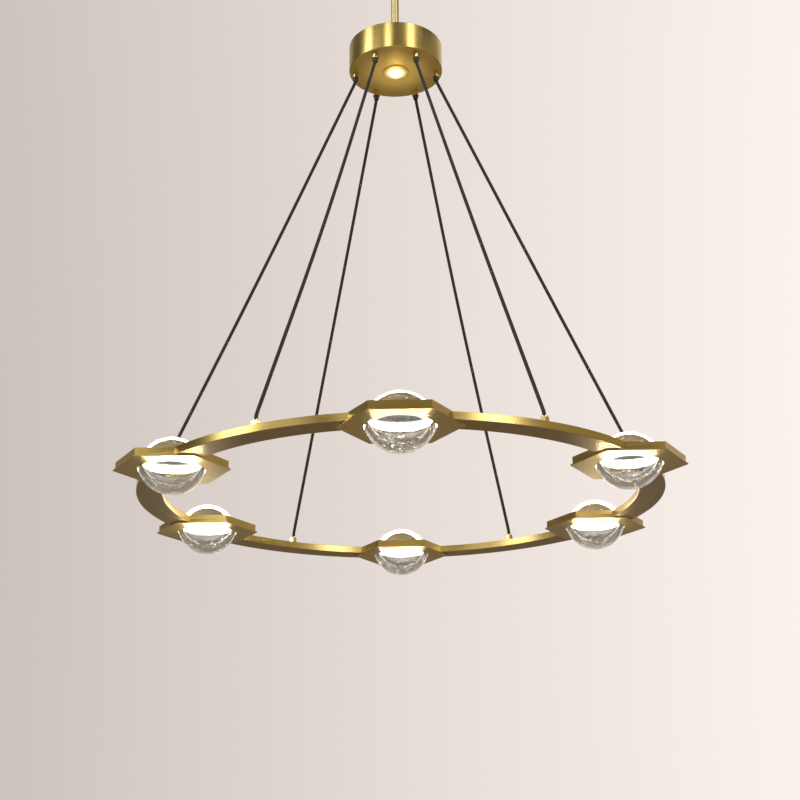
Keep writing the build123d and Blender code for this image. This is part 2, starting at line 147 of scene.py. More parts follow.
# Other finishes: the two tones that the grain runs between
ZINC_TONES = ((0.5, 0.5, 0.52), (0.62, 0.62, 0.63))
ALUMINIUM_TONES = ((0.6, 0.6, 0.61), (0.7, 0.7, 0.71))
CASE_TONES = ((0.72, 0.72, 0.7), (0.78, 0.78, 0.76))
COLLAR_TONES = ((0.012, 0.012, 0.012), (0.025, 0.025, 0.024))
# yarn: its tones also carry painted shade between the strands
YARN_AND_SHADE_TONES = ((0.006, 0.006, 0.006), (0.035, 0.032, 0.03))
FLOOR_TONES = ((0.76, 0.68, 0.57), (0.80, 0.715, 0.60))
GLASS_TONE = (0.74, 0.75, 0.765)

# Lit pieces of the lamp heads, and painted glow on the lower domes' rims and on lips at the feet of the upper
# domes
LIT_TONES = ((1.0, 0.88, 0.68), (1.0, 0.93, 0.78))
RING_STRENGTH = 4.0
RIM_GLOW_STRENGTH = 8.0
LIP_GLOW_STRENGTH = 12.0
LAMP_GLOW_DROP = 0.014
LAMP_GLOW_RADIUS = 0.042
LAMP_GLOW_POWER = 0.4
LAMP_GLOW_COLOUR = (1.0, 0.9, 0.72)

# Spotlight: the lens fades from its middle to its edge, and a painted glow of its light on the bezel and the
# hub's base, each given as a colour, two radii and the strength at each, is emission that fades outwards
LENS_TONES = ((1.0, 0.95, 0.82), (1.0, 0.72, 0.3))
LENS_RADII = (0.004, 0.0118)
LENS_STRENGTHS = (4.0, 1.6)
BEZEL_TONES = ((0.62, 0.44, 0.12), (0.70, 0.52, 0.17))
BEZEL_PAINTED_GLOW = ((1.0, 0.72, 0.24), (0.0115, 0.0195), (0.75, 0.0))
BASE_PAINTED_GLOW = ((1.0, 0.67, 0.14), (0.018, 0.062), (0.26, 0.02))
SPOT_GLOW_DROP = 0.006
SPOT_GLOW_RADIUS = 0.008
SPOT_GLOW_POWER = 0.01
SPOT_GLOW_COLOUR = (1.0, 0.8, 0.4)

# Camera
CAMERA_PLACE = Vector((-0.0014, -1.8618, -1.5191))
CAMERA_YAW = math.radians(0.055)
CAMERA_PITCH = math.radians(19.124)
CAMERA_ROLL = math.radians(-0.7)
CAMERA_LENS = 62.6
CAMERA_SENSOR = 36.0

# Stage
FLOOR_HEIGHT = -2.75
FLOOR_HALF_SIZE = 9.0

# Room: colours of the wall at its left and right ends, and the ranges of direction over which they change
AHEAD_COLOURS = ((0.585, 0.53, 0.487), (0.985, 0.905, 0.845))
AHEAD_REACH = 0.3
BEHIND_COLOURS = ((0.12, 0.10, 0.07), (0.42, 0.36, 0.23))
BEHIND_REACH = 0.9
BEHIND_RANGE = (0.94, 0.45)
FOOT_COLOUR = (0.25, 0.205, 0.15)
FOOT_RANGE = (0.045, -0.09)
OVERHEAD_COLOUR = (0.24, 0.245, 0.26)
OVERHEAD_RANGE = (0.59, 0.72)

# Soft boxes: bearing in degrees from the -Y side, distance, height, width, length, power and colour
SOFT_BOXES = {
    "soft_box_left": (-68, 2.6, 0.55, 0.75, 2.3, 32, (1.0, 0.99, 0.98)),
    "soft_box_fill": (-44, 2.7, 0.55, 0.8, 2.3, 5, (1.0, 0.99, 0.96)),
    "soft_box_middle": (-19, 2.8, 1.2, 0.42, 1.8, 19, (0.96, 1.0, 0.9)),
    "soft_box_right": (37, 2.6, 0.55, 0.66, 2.3, 30, (1.0, 0.99, 0.97)),
}


def feed(tree, socket, value):
    """Link a socket, or set its constant."""
    if isinstance(value, bpy.types.NodeSocket):
        tree.links.new(value, socket)
    else:
        socket.default_value = value


def calc(tree, operation, *values):
    """Math node on numbers or sockets."""
    node = tree.nodes.new("ShaderNodeMath")
    node.operation = operation
    for socket, value in zip(node.inputs, values):
        feed(tree, socket, value)
    return node.outputs[0]


def vector(tree, operation, *values):
    """Vector Math node on vectors or sockets."""
    node = tree.nodes.new("ShaderNodeVectorMath")
    node.operation = operation
    for socket, value in zip(node.inputs, values):
        feed(tree, socket, value)
    return node.outputs["Value" if operation in ("DOT_PRODUCT", "LENGTH") else "Vector"]


def joined(tree, x, y, z):
    """Vector from three numbers or sockets."""
    node = tree.nodes.new("ShaderNodeCombineXYZ")
    for socket, value in zip(node.inputs, (x, y, z)):
        feed(tree, socket, value)
    return node.outputs[0]


def split(tree, socket):
    """X, Y and Z of a vector."""
    node = tree.nodes.new("ShaderNodeSeparateXYZ")
    tree.links.new(socket, node.inputs[0])
    return node.outputs


def ramp(tree, value, low, high, out_low, out_high, smooth=False):
    """Number carried from one range to another."""
    node = tree.nodes.new("ShaderNodeMapRange")
    node.interpolation_type = "SMOOTHSTEP" if smooth else "LINEAR"
    for name, number in zip(("Value", "From Min", "From Max", "To Min", "To Max"),
                            (value, low, high, out_low, out_high)):
        feed(tree, node.inputs[name], number)
    return node.outputs[0]


def blend_colour(tree, share, first, second):
    """Mix of two colours."""
    node = tree.nodes.new("ShaderNodeMix")
    node.data_type = "RGBA"
    feed(tree, node.inputs["Factor"], share)
    feed(tree, node.inputs["A"], first if isinstance(first, bpy.types.NodeSocket) else (*first, 1))
    feed(tree, node.inputs["B"], second if isinstance(second, bpy.types.NodeSocket) else (*second, 1))
    return node.outputs["Result"]


def grain_noise(tree, place, scale, detail=3.0, roughness=0.6):
    """Noise value at a place."""
    node = tree.nodes.new("ShaderNodeTexNoise")
    tree.links.new(place, node.inputs["Vector"])
    node.inputs["Scale"].default_value = scale
    node.inputs["Detail"].default_value = detail
    node.inputs["Roughness"].default_value = roughness
    return node.outputs["Fac"]


def object_place(tree):
    """Object coordinates."""
    return tree.nodes.new("ShaderNodeTexCoord").outputs["Object"]


def axis_distance(tree):
    """Distance from the chandelier's axis."""
    x, y, _ = split(tree, object_place(tree))
    return vector(tree, "LENGTH", joined(tree, x, y, 0.0))


def new_material(name, **constants):
    """Material with one Principled shader, its constants set on its own sockets."""
    material = bpy.data.materials.new(name)
    material.use_nodes = True
    tree = material.node_tree
    shader = tree.nodes["Principled BSDF"]
    for socket_name, value in constants.items():
        socket = shader.inputs[socket_name.replace("_", " ")]
        socket.default_value = (*value, 1) if isinstance(value, tuple) else value
    return material, tree, shader


def add_bump(tree, shader, height, strength, distance):
    """Bump of a height on the shader's normal."""
    node = tree.nodes.new("ShaderNodeBump")
    node.inputs["Strength"].default_value = strength
    node.inputs["Distance"].default_value = distance
    tree.links.new(height, node.inputs["Height"])
    tree.links.new(node.outputs[0], shader.inputs["Normal"])


def face_rise(tree):
    """Upward share of a face's direction: 1 on top, 0 on the sides, -1 underneath."""
    return split(tree, tree.nodes.new("ShaderNodeNewGeometry").outputs["True Normal"])[2]


def level_face(tree):
    """1 on level faces, above or below, and 0 on upright ones."""
    return calc(tree, "GREATER_THAN", calc(tree, "ABSOLUTE", face_rise(tree)), LEVEL_SHARE)


def choose(tree, share, first, second):
    """First number where share is 0, second where it is 1."""
    kept = calc(tree, "MULTIPLY", first, calc(tree, "SUBTRACT", 1.0, share))
    return calc(tree, "MULTIPLY_ADD", second, share, kept)


def round_grain(tree):
    """Lines round the chandelier's axis: their place for the noise, and the direction across them."""
    place = object_place(tree)
    x, y, z = split(tree, place)
    outward = joined(tree, x, y, 0.0)
    level = level_face(tree)
    across = choose(tree, level, z, vector(tree, "LENGTH", outward))
    bearing = vector(tree, "NORMALIZE", outward)
    bearing_x, bearing_y, _ = split(tree, bearing)
    lines = joined(tree, across, calc(tree, "MULTIPLY", bearing_x, 0.004),
                   calc(tree, "MULTIPLY", bearing_y, 0.004))
    direction = joined(tree, calc(tree, "MULTIPLY", bearing_x, level),
                       calc(tree, "MULTIPLY", bearing_y, level), calc(tree, "SUBTRACT", 1.0, level))
    return place, lines, direction


def straight_grain(angle):
    """Lines along one level direction, and level along upright faces."""
    along = (math.cos(angle), math.sin(angle), 0.0)
    aside = (-math.sin(angle), math.cos(angle), 0.0)

    def grain(tree):
        place = object_place(tree)
        level = level_face(tree)
        across = choose(tree, level, split(tree, place)[2], vector(tree, "DOT_PRODUCT", place, aside))
        run = calc(tree, "MULTIPLY", vector(tree, "DOT_PRODUCT", place, along), 0.012)
        direction = joined(tree, calc(tree, "MULTIPLY", level, aside[0]),
                           calc(tree, "MULTIPLY", level, aside[1]), calc(tree, "SUBTRACT", 1.0, level))
        return place, joined(tree, across, run, 0.0), direction

    return grain


def brass(name, grain, tones, roughness, anisotropy, line_scale, line_bump, painted_shade_share=0.0):
    """Brass with fine lines in its gloss and height and slow changes of tone, and painted shade: downward
    faces darkened by a share.
    """
    material, tree, shader = new_material(name, Metallic=1.0, Anisotropic=anisotropy)
    place, lines, direction = grain(tree)
    line = grain_noise(tree, lines, line_scale, 4.0, 0.75)
    cloud = grain_noise(tree, place, 22.0, 2.0, 0.5)
    tone = calc(tree, "ADD", ramp(tree, cloud, 0.3, 0.7, 0.0, 0.6), ramp(tree, line, 0.3, 0.7, 0.0, 0.4))
    colour = blend_colour(tree, tone, *tones)
    # painted shade: downward faces are darkened towards a dark brass tone, for the shade under the bars,
    # plates and bands
    painted_shade_mask = calc(tree, "MULTIPLY", calc(tree, "LESS_THAN", face_rise(tree), -LEVEL_SHARE), painted_shade_share)
    tree.links.new(blend_colour(tree, painted_shade_mask, colour, PAINTED_SHADE_TONE), shader.inputs["Base Color"])
    gloss = ramp(tree, line, 0.25, 0.75, roughness - 0.05, roughness + 0.07)
    tree.links.new(gloss, shader.inputs["Roughness"])
    tree.links.new(direction, shader.inputs["Tangent"])
    add_bump(tree, shader, line, line_bump, 0.0002)
    return material


def speckled(name, tones, roughness, speckle_scale, **constants):
    """Plain moulded or plated surface with a fine speckle in its tone and gloss."""
    material, tree, shader = new_material(name, **constants)
    speckle = grain_noise(tree, object_place(tree), speckle_scale)
    tree.links.new(blend_colour(tree, speckle, *tones), shader.inputs["Base Color"])
    gloss = ramp(tree, speckle, 0.3, 0.7, roughness - 0.06, roughness + 0.06)
    tree.links.new(gloss, shader.inputs["Roughness"])
    add_bump(tree, shader, speckle, 0.15, 0.0001)
    return material


def crystal_glass():
    """Clear glass with a trace of cool grey."""
    material, _, _ = new_material(
        "crystal_glass", Base_Color=GLASS_TONE, Roughness=0.0, IOR=1.5, Transmission_Weight=1.0)
    return material


def lit_diffuser(name, strength):
    """Emission, a little uneven along its length: milky plastic lit from inside, and painted glow where it is
    given to other pieces.
    """
    material, tree, shader = new_material(name, Base_Color=(0.9, 0.88, 0.82), Roughness=0.5)
    cloud = grain_noise(tree, object_place(tree), 60.0)
    tree.links.new(blend_colour(tree, cloud, *LIT_TONES), shader.inputs["Emission Color"])
    glow = ramp(tree, cloud, 0.3, 0.7, 0.9 * strength, 1.1 * strength)
    tree.links.new(glow, shader.inputs["Emission Strength"])
    return material


def spot_lens_glow():
    """Lit lens: white in the middle, warmer and dimmer to its edge."""
    material, tree, shader = new_material("spot_lens_glow", Base_Color=(1.0, 0.95, 0.8), Roughness=0.1)
    edge = ramp(tree, axis_distance(tree), *LENS_RADII, 0.0, 1.0, smooth=True)
    tree.links.new(blend_colour(tree, edge, *LENS_TONES), shader.inputs["Emission Color"])
    tree.links.new(ramp(tree, edge, 0.0, 1.0, *LENS_STRENGTHS), shader.inputs["Emission Strength"])
    return material


def paint_spot_glow(material, tone, radii, strengths):
    """Painted glow of the spotlight on the metal round it: emission that fades outwards from the axis."""
    tree = material.node_tree
    shader = tree.nodes["Principled BSDF"]
    shader.inputs["Emission Color"].default_value = (*tone, 1)
    glow = ramp(tree, axis_distance(tree), *radii, *strengths, smooth=True)
    tree.links.new(glow, shader.inputs["Emission Strength"])
    return material


def braided_fabric():
    """Black yarn with a random fibre tone and painted shade: darker between the strands, paler on the crowns
    of the braid.
    """
    material, tree, shader = new_material(
        "braided_fabric", Roughness=0.8, Sheen_Weight=0.3, Sheen_Roughness=0.4)
    weave = tree.nodes.new("ShaderNodeAttribute")
    weave.attribute_name = "weave"
    fibre = grain_noise(tree, object_place(tree), 2500.0)
    # painted shade: the yarn is darker where the braid sinks between the strands
    tone = calc(tree, "MULTIPLY", weave.outputs["Fac"], ramp(tree, fibre, 0.3, 0.7, 0.6, 1.0))
    tree.links.new(blend_colour(tree, tone, *YARN_AND_SHADE_TONES), shader.inputs["Base Color"])
    add_bump(tree, shader, fibre, 0.3, 0.0001)
    return material


def finish_nodes(material, names):
    """Give CAD nodes a finish."""
    for name in names:
        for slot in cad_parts[name].material_slots:
            slot.material = material


def new_piece(name, mesh, material):
    """Object at the origin with one material."""
    piece = bpy.data.objects.new(name, mesh)
    bpy.context.scene.collection.objects.link(piece)
    mesh.materials.clear()
    mesh.materials.append(material)
    return piece


def eased_copy(node, material, body):
    """Copy of a CAD node with its sharp edges rounded off a little, in the node's stead."""
    solid = bmesh.new()
    solid.from_mesh(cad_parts[node].data)
    solid.transform(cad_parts[node].matrix_world)
    bmesh.ops.remove_doubles(solid, verts=solid.verts, dist=MERGE_DISTANCE)
    bmesh.ops.dissolve_limit(solid, angle_limit=FLAT_ANGLE, verts=solid.verts, edges=solid.edges)
    corners = [edge for edge in solid.edges if edge.is_manifold and edge.calc_face_angle() > EASED_ANGLE]
    bmesh.ops.bevel(solid, geom=corners, offset=EASED_WIDTH, segments=2, profile=0.5, affect="EDGES",
                    clamp_overlap=True)
    bmesh.ops.recalc_face_normals(solid, faces=solid.faces)
    for face in solid.faces:
        face.smooth = True
        face.material_index = 0
    mesh = bpy.data.meshes.new(f"eased_{node}")
    solid.to_mesh(mesh)
    solid.free()
    mesh.set_sharp_from_angle(angle=BRASS_SHARP_ANGLE)
    piece = new_piece(mesh.name, mesh, material)
    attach(piece, body)
    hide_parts(node)


def evaluated_mesh(piece, material):
    """Plain mesh of a piece with its modifiers, which are then removed, in one material."""
    graph = bpy.context.evaluated_depsgraph_get()
    mesh = bpy.data.meshes.new_from_object(piece.evaluated_get(graph))
    piece.modifiers.clear()
    mesh.materials.clear()
    mesh.materials.append(material)
    mesh.polygons.foreach_set("material_index", [0] * len(mesh.polygons))
    return mesh


def revolved(profile, segments):
    """Closed solid of revolution about Z, from a profile that starts and ends on the axis."""
    solid = bmesh.new()
    rings = []
    for radius, height in profile:
        if radius == 0:
            rings.append([solid.verts.new((0, 0, height))])
            continue
        turns = [2 * math.pi * step / segments for step in range(segments)]
        places = [(radius * math.cos(turn), radius * math.sin(turn), height) for turn in turns]
        rings.append([solid.verts.new(place) for place in places])
    for low, high in zip(rings, rings[1:]):
        for step in range(segments):
            after = (step + 1) % segments
            if len(low) == 1:
                solid.faces.new((low[0], high[after], high[step]))
            elif len(high) == 1:
                solid.faces.new((low[step], low[after], high[0]))
            else:
                solid.faces.new((low[step], low[after], high[after], high[step]))
    bmesh.ops.recalc_face_normals(solid, faces=solid.faces)
    return solid


def lamp_matrix(index):
    """Place of a lamp head on the ring."""
    return Matrix.Rotation(index * LAMP_STEP, 4, "Z") @ Matrix.Translation((0, -LAMP_CIRCLE, 0))


def dome_arc(sphere_radius, centre, angle, rows):
    """Points of an arc from the pole to an angle from the axis, below the rim plane."""
    steps = [angle * row / rows for row in range(rows + 1)]
    arc = [(sphere_radius * math.sin(step), centre - sphere_radius * math.cos(step)) for step in steps]
    arc[0] = (0, arc[0][1])
    return arc


def crystal_mesh(name, side, index):
    """Dome with its neck and flange; the hollow of a lower one is rippled, each in its own way."""
    neck = NECK_LOWER if side == "lower" else NECK_UPPER
    sphere_radius = (DOME_RADIUS ** 2 + DOME_HEIGHT ** 2) / (2 * DOME_HEIGHT)
    centre = sphere_radius - DOME_HEIGHT
    flange_top = neck + FLANGE_THICKNESS
    outer = dome_arc(sphere_radius, centre, math.asin(DOME_RADIUS / sphere_radius), DOME_ROWS)
    rim = [(DOME_RADIUS, neck - NECK_LIT), (DOME_RADIUS, neck), (FLANGE_RADIUS, neck),
           (FLANGE_RADIUS, flange_top), (BOND_RADIUS, flange_top)]
    hollow_radius = (HOLLOW_RADIUS ** 2 + HOLLOW_DEPTH ** 2) / (2 * HOLLOW_DEPTH)
    hollow_centre = flange_top - HOLLOW_DEPTH + hollow_radius
    hollow_reach = math.acos((hollow_radius - HOLLOW_DEPTH) / hollow_radius)
    hollow = dome_arc(hollow_radius, hollow_centre, hollow_reach, DOME_ROWS)
    inside = hollow[::-1] if side == "lower" else [(HOLLOW_RADIUS, flange_top), (0, flange_top)]
    solid = revolved(outer + rim + inside, DOME_SEGMENTS)
    depth = solid.verts.layers.float.new("glass_depth")
    for vertex in solid.verts:
        x, y, z = vertex.co
        off_face = abs((vertex.co - Vector((0, 0, centre))).length - sphere_radius)
        if off_face < MERGE_DISTANCE and z < -BUBBLE_FREE_HEIGHT:
            edge_depth, pole_gain = BUBBLE_DEPTHS[side]
            vertex[depth] = edge_depth + pole_gain * (1 - (x * x + y * y) / DOME_RADIUS ** 2)
        elif side == "lower" and z < flange_top - RIPPLE_START:
            spot = vertex.co / RIPPLE_SIZE + Vector((17.0 * index, 31.0, 0))
            ripple = noise.noise(spot) + FINE_RIPPLE_SHARE * noise.noise(FINE_RIPPLE_SCALE * spot)
            vertex.co.z += RIPPLE_DEPTH * ripple * min(1.0, (flange_top - RIPPLE_START - z) / RIPPLE_FADE)
    height = PLATE_FLOOR if side == "lower" else BAND_TOP
    turn = Matrix.Identity(4) if side == "lower" else Matrix.Rotation(math.pi, 4, "X")
    solid.transform(lamp_matrix(index) @ Matrix.Translation((0, 0, height)) @ turn)
    bmesh.ops.recalc_face_normals(solid, faces=solid.faces)
    if solid.calc_volume(signed=True) < 0:
        bmesh.ops.reverse_faces(solid, faces=solid.faces)
    for face in solid.faces:
        face.smooth = True
    mesh = bpy.data.meshes.new(name)
    solid.to_mesh(mesh)
    solid.free()
    mesh.set_sharp_from_angle(angle=DOME_SHARP_ANGLE)
    return mesh


def geometry_tree(name, inputs):
    """Node tree with a geometry socket at both ends and named inputs; returns their identifiers too."""
    tree = bpy.data.node_groups.new(name, "GeometryNodeTree")
    tree.interface.new_socket("Geometry", in_out="INPUT", socket_type="NodeSocketGeometry")
    tree.interface.new_socket("Geometry", in_out="OUTPUT", socket_type="NodeSocketGeometry")
    keys = {}
    for label, kind in inputs:
        keys[label] = tree.interface.new_socket(label, in_out="INPUT", socket_type=kind).identifier
    source = tree.nodes.new("NodeGroupInput")
    target = tree.nodes.new("NodeGroupOutput")
    return tree, source.outputs, target.inputs[0], keys


def step_node(tree, kind, geometry, **inputs):
    """Geometry node fed with a geometry and named inputs."""
    node = tree.nodes.new(kind)
    tree.links.new(geometry, node.inputs[0])
    for label, value in inputs.items():
        feed(tree, node.inputs[label.replace("_", " ")], value)
    return node


def bubble_tree(material):
    """Small bubbles, round and flattened, under the outer face of a dome: voids of the dome's mesh."""
    tree, given, result, keys = geometry_tree("trapped_bubbles", (
        ("Density", "NodeSocketFloat"),
        ("Smallest", "NodeSocketFloat"),
        ("Largest", "NodeSocketFloat"),
        ("Seed", "NodeSocketInt"),
    ))

    def number(kind, low, high, seed_shift):
        node = tree.nodes.new("FunctionNodeRandomValue")
        node.data_type = kind
        sockets = [socket for socket in node.inputs if socket.enabled]
        feed(tree, sockets[0], low)
        feed(tree, sockets[1], high)
        feed(tree, node.inputs["Seed"], calc(tree, "ADD", given["Seed"], float(seed_shift)))
        return [socket for socket in node.outputs if socket.enabled][0]

    depth = tree.nodes.new("GeometryNodeInputNamedAttribute")
    depth.inputs["Name"].default_value = "glass_depth"
    points = step_node(tree, "GeometryNodeDistributePointsOnFaces", given["Geometry"],
                       Selection=calc(tree, "GREATER_THAN", depth.outputs[0], 0.001),
                       Density=given["Density"], Seed=given["Seed"])
    inward = vector(tree, "SCALE", points.outputs["Normal"])
    share = calc(tree, "MULTIPLY", number("FLOAT", -0.95, -0.25, 1), depth.outputs[0])
    tree.links.new(share, inward.node.inputs["Scale"])
    sunk = step_node(tree, "GeometryNodeSetPosition", points.outputs["Points"], Offset=inward)
    bead = tree.nodes.new("GeometryNodeMeshUVSphere")
    bead.inputs["Segments"].default_value = 8
    bead.inputs["Rings"].default_value = 5
    bead.inputs["Radius"].default_value = 1.0
    size = calc(tree, "MULTIPLY_ADD", calc(tree, "POWER", number("FLOAT", 0.0, 1.0, 2), 3.0),
                calc(tree, "SUBTRACT", given["Largest"], given["Smallest"]), given["Smallest"])
    squash = vector(tree, "SCALE", number("FLOAT_VECTOR", (0.8, 0.8, 0.2), (1.6, 1.2, 1.0), 3))
    tree.links.new(size, squash.node.inputs["Scale"])
    turned = number("FLOAT_VECTOR", (0.0, 0.0, 0.0), (6.28, 6.28, 6.28), 4)
    beads = step_node(tree, "GeometryNodeInstanceOnPoints", sunk.outputs[0],
                      Instance=bead.outputs["Mesh"], Rotation=turned, Scale=squash)
    real = step_node(tree, "GeometryNodeRealizeInstances", beads.outputs[0])
    voids = step_node(tree, "GeometryNodeFlipFaces", real.outputs[0])
    smooth = step_node(tree, "GeometryNodeSetShadeSmooth", voids.outputs[0])
    both = step_node(tree, "GeometryNodeJoinGeometry", given["Geometry"])
    tree.links.new(smooth.outputs[0], both.inputs[0])
    whole = step_node(tree, "GeometryNodeRealizeInstances", both.outputs[0])
    dressed = step_node(tree, "GeometryNodeSetMaterial", whole.outputs[0], Material=material)
    tree.links.new(dressed.outputs[0], result)
    return tree, keys


def paint_rim_glow(mesh, index, rim_glow):
    """Paint a glow on the rim of a lower dome, where it meets its light ring: its neck and flange faces emit
    light like a lit diffuser.
    """
    mesh.materials.append(rim_glow)
    axis = lamp_matrix(index).translation
    lit_from = PLATE_FLOOR + NECK_LOWER - NECK_LIT
    for face in mesh.polygons:
        lowest = min(mesh.vertices[corner].co.z for corner in face.vertices)
        outside = (face.center - axis).xy.length > BOND_RADIUS
        if outside and lowest > lit_from - MERGE_DISTANCE:
            face.material_index = 1


def make_crystals(material, rim_glow):
    """Domes above and below every lamp head, with bubbles in the glass."""
    tree, keys = bubble_tree(material)
    for index in range(LAMP_COUNT):
        for side in ("lower", "upper"):
            name = f"bubbled_dome_{side}_{index + 1}"
            piece = new_piece(name, crystal_mesh(name, side, index), material)
            modifier = piece.modifiers.new("trapped_bubbles", "NODES")
            modifier.node_group = tree
            modifier[keys["Density"]] = BUBBLE_DENSITY
            modifier[keys["Smallest"]] = BUBBLE_SIZES[0]
            modifier[keys["Largest"]] = BUBBLE_SIZES[1]
            modifier[keys["Seed"]] = 2 * index + (side == "upper")
            piece.data = evaluated_mesh(piece, material)
            if side == "lower":
                # painted glow on the glass rim
                paint_rim_glow(piece.data, index, rim_glow)
            piece.visible_shadow = False
            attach(piece, "ring")
            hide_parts(f"crystal_{side}_{index + 1}")


def make_light_lips(material):
    """Thin lips of painted glow on the bands, round the feet of the upper domes."""
    for index in range(LAMP_COUNT):
        solid = revolved(LIP_SECTION + LIP_SECTION[:1], DOME_SEGMENTS)
        bmesh.ops.remove_doubles(solid, verts=solid.verts, dist=MERGE_DISTANCE)
        bmesh.ops.recalc_face_normals(solid, faces=solid.faces)
        solid.transform(lamp_matrix(index) @ Matrix.Translation((0, 0, BAND_TOP)))
        mesh = bpy.data.meshes.new(f"light_lip_{index + 1}")
        solid.to_mesh(mesh)
        solid.free()
        piece = new_piece(mesh.name, mesh, material)
        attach(piece, "ring")


def sleeve_tree(material):
    """Braided sleeve round a line: two sets of strands, over and under each other."""
    tree, given, result, keys = geometry_tree("braided_sleeve", (
        ("Radius", "NodeSocketFloat"),
        ("Sides", "NodeSocketInt"),
        ("Step", "NodeSocketFloat"),
        ("Strands", "NodeSocketFloat"),
        ("Pitch", "NodeSocketFloat"),
        ("Depth", "NodeSocketFloat"),
    ))
    line = step_node(tree, "GeometryNodeMeshToCurve", given["Geometry"]).outputs[0]
    even = tree.nodes.new("GeometryNodeResampleCurve")
    even.mode = "LENGTH"
    tree.links.new(line, even.inputs["Curve"])
    tree.links.new(given["Step"], even.inputs["Length"])
    along = tree.nodes.new("GeometryNodeSplineParameter")
    stored_along = step_node(
        tree, "GeometryNodeStoreNamedAttribute", even.outputs[0], Name="along",
        Value=along.outputs["Length"])
    circle = tree.nodes.new("GeometryNodeCurvePrimitiveCircle")
    tree.links.new(given["Sides"], circle.inputs["Resolution"])
    inner_radius = calc(tree, "SUBTRACT", given["Radius"], given["Depth"])
    tree.links.new(inner_radius, circle.inputs["Radius"])
    round_share = tree.nodes.new("GeometryNodeSplineParameter")
    stored_round = step_node(
        tree, "GeometryNodeStoreNamedAttribute", circle.outputs["Curve"], Name="around",
        Value=round_share.outputs["Factor"])
    tube = tree.nodes.new("GeometryNodeCurveToMesh")
    tree.links.new(stored_along.outputs[0], tube.inputs["Curve"])
    tree.links.new(stored_round.outputs[0], tube.inputs["Profile Curve"])
    tube.inputs["Fill Caps"].default_value = True

    def stored(label):
        node = tree.nodes.new("GeometryNodeInputNamedAttribute")
        node.inputs["Name"].default_value = label
        return node.outputs[0]

    turns = calc(tree, "MULTIPLY", stored("around"), given["Strands"])
    pitches = calc(tree, "DIVIDE", stored("along"), given["Pitch"])
    rise = calc(tree, "MULTIPLY", pitches, given["Strands"])
    left = calc(tree, "ADD", turns, rise)
    right = calc(tree, "SUBTRACT", turns, rise)
    cells = calc(tree, "ADD", calc(tree, "FLOOR", left), calc(tree, "FLOOR", right))
    over = calc(tree, "FLOORED_MODULO", cells, 2.0)
    left_crown = calc(tree, "SINE", calc(tree, "MULTIPLY", calc(tree, "FRACT", left), math.pi))
    right_crown = calc(tree, "SINE", calc(tree, "MULTIPLY", calc(tree, "FRACT", right), math.pi))
    left_yarn = calc(tree, "MULTIPLY", left_crown, calc(tree, "MULTIPLY_ADD", right_crown, 0.5, 0.5))
    right_yarn = calc(tree, "MULTIPLY", right_crown, calc(tree, "MULTIPLY_ADD", left_crown, 0.5, 0.5))
    weave = choose(tree, over, left_yarn, right_yarn)
    kept = step_node(tree, "GeometryNodeStoreNamedAttribute", tube.outputs[0], Name="weave", Value=weave)
    normal = tree.nodes.new("GeometryNodeInputNormal").outputs[0]
    lift = vector(tree, "SCALE", normal)
    tree.links.new(calc(tree, "MULTIPLY", stored("weave"), given["Depth"]), lift.node.inputs["Scale"])
    raised = step_node(tree, "GeometryNodeSetPosition", kept.outputs[0], Offset=lift)
    smooth = step_node(tree, "GeometryNodeSetShadeSmooth", raised.outputs[0])
    real = step_node(tree, "GeometryNodeRealizeInstances", smooth.outputs[0])
    dressed = step_node(tree, "GeometryNodeSetMaterial", real.outputs[0], Material=material)
    tree.links.new(dressed.outputs[0], result)
    return tree, keys


def cable_line(index):
    """Mesh of points along a cable's NURBS line, from the cord grip to the anchor.

    The middle control point is two sags low, because the line comes only halfway to it.
    """
    top, upper_corner, lower_corner, foot = (Vector(point) for point in CABLE_ROUTE)
    run = (lower_corner - upper_corner).normalized()
    end_run = (upper_corner - top).length
    outward = run.cross(Vector((1, 0, 0))).normalized()
    middle = (upper_corner + lower_corner) / 2 - outward * (2 * CABLE_SAGS[index])
    points = (top, upper_corner, upper_corner + run * end_run, middle,
              lower_corner - run * end_run, lower_corner, foot)
    turn = Matrix.Rotation((index + 0.5) * LAMP_STEP, 4, "Z")
    curve = bpy.data.curves.new(f"cable_line_{index + 1}", "CURVE")
    curve.dimensions = "3D"
    curve.resolution_u = 48
    spline = curve.splines.new("NURBS")
    spline.points.add(len(points) - 1)
    for target, point in zip(spline.points, points):
        target.co = (*(turn @ point), 1)
    spline.order_u = 3
    spline.use_endpoint_u = True
    holder = bpy.data.objects.new(curve.name, curve)
    bpy.context.scene.collection.objects.link(holder)
    graph = bpy.context.evaluated_depsgraph_get()
    line = bpy.data.meshes.new_from_object(holder.evaluated_get(graph))
    bpy.data.objects.remove(holder)
    return line


def make_cables(material):
    """Braided cables from the hub's cord grips to the anchors on the ring."""
    tree, keys = sleeve_tree(material)
    sizes = {"Radius": CABLE_RADIUS, "Sides": BRAID_SIDES, "Step": BRAID_STEP,
             "Strands": float(BRAID_STRANDS), "Pitch": BRAID_PITCH, "Depth": BRAID_DEPTH}
    for index in range(LAMP_COUNT):
        line = cable_line(index)
        piece = new_piece(f"braided_cable_{index + 1}", line, material)
        modifier = piece.modifiers.new("braided_sleeve", "NODES")
        modifier.node_group = tree
        for label, size in sizes.items():
            modifier[keys[label]] = size
        piece.data = evaluated_mesh(piece, material)
        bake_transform(piece)
        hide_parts(f"cable_{index + 1}")


